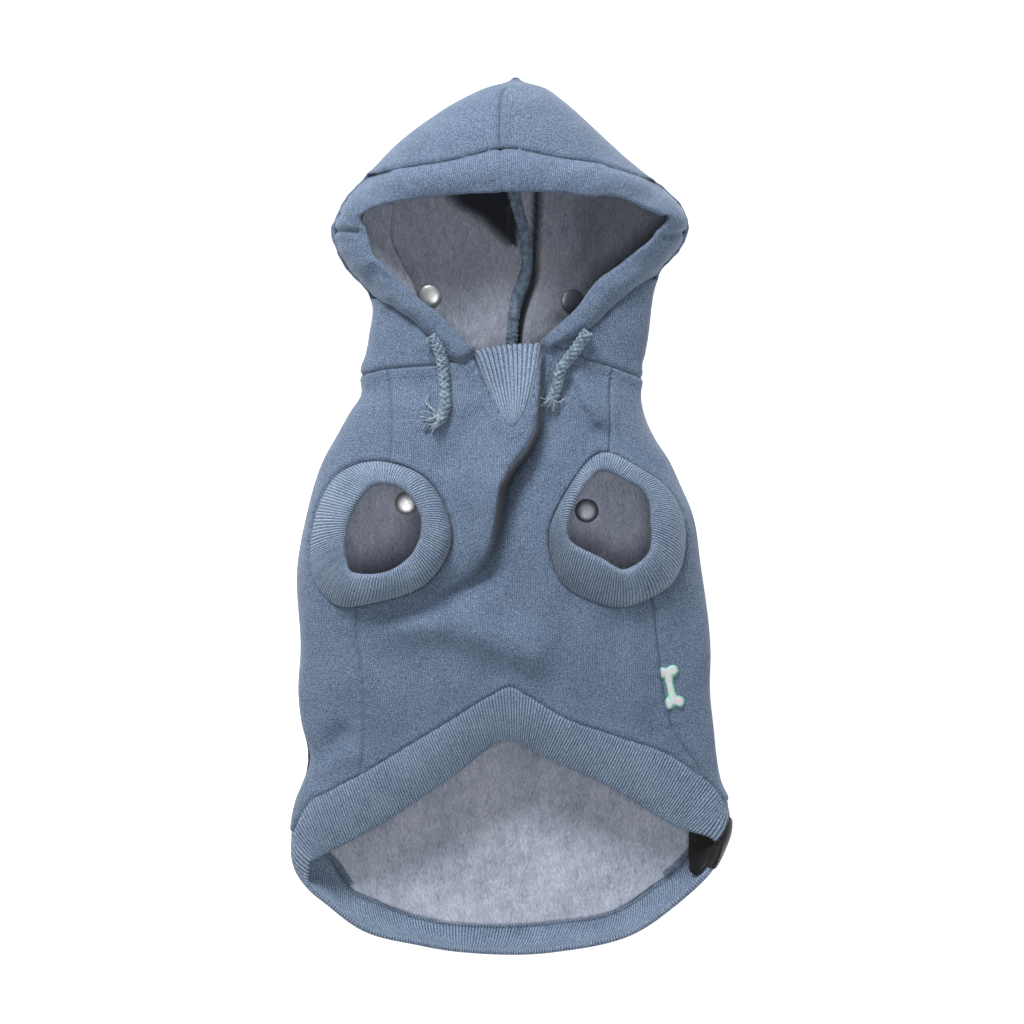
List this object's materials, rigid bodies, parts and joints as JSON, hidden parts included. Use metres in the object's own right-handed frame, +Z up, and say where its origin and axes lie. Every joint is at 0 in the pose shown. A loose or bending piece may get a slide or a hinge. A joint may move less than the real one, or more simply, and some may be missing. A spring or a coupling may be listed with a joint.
{
  "type": "dog hoodie",
  "caption": "Small dog's fleece hoodie lying on its back: hood with drawcord, leg holes with rib cuffs, rib hem band, snaps and a bone tag.",
  "frame": {"origin": "middle of the flat back of the hoodie, on the surface that it lies on", "axes": "+Z up away from the surface and out of the belly, +Y along the garment to the peak of the hood, +X to the right seen from above"},
  "size_m": [0.221, 0.4399, 0.0578],
  "materials": {
    "knit": "brushed fleece knit, matt",
    "rib": "fine rib knit, matt",
    "cord": "braided cotton cord",
    "snap": "nickel plated, satin",
    "tag": "padded embossed tag, satin",
    "label": "woven satin label, bare"
  },
  "bodies": {
    "root": {"belly_panel": "knit", "back_panel": "knit", "hood_left": "knit", "hood_right": "knit", "hood_casing": "knit", "neck_insert": "rib", "cuff_left": "rib", "cuff_right": "rib", "hem_band": "rib", "drawcord_left": "cord", "drawcord_right": "cord", "snap_hood_left": "snap", "snap_hood_right": "snap", "snap_back_left": "snap", "snap_back_right": "snap", "bone_tag": "tag", "hem_label": "label"}
  },
  "joints": []
}
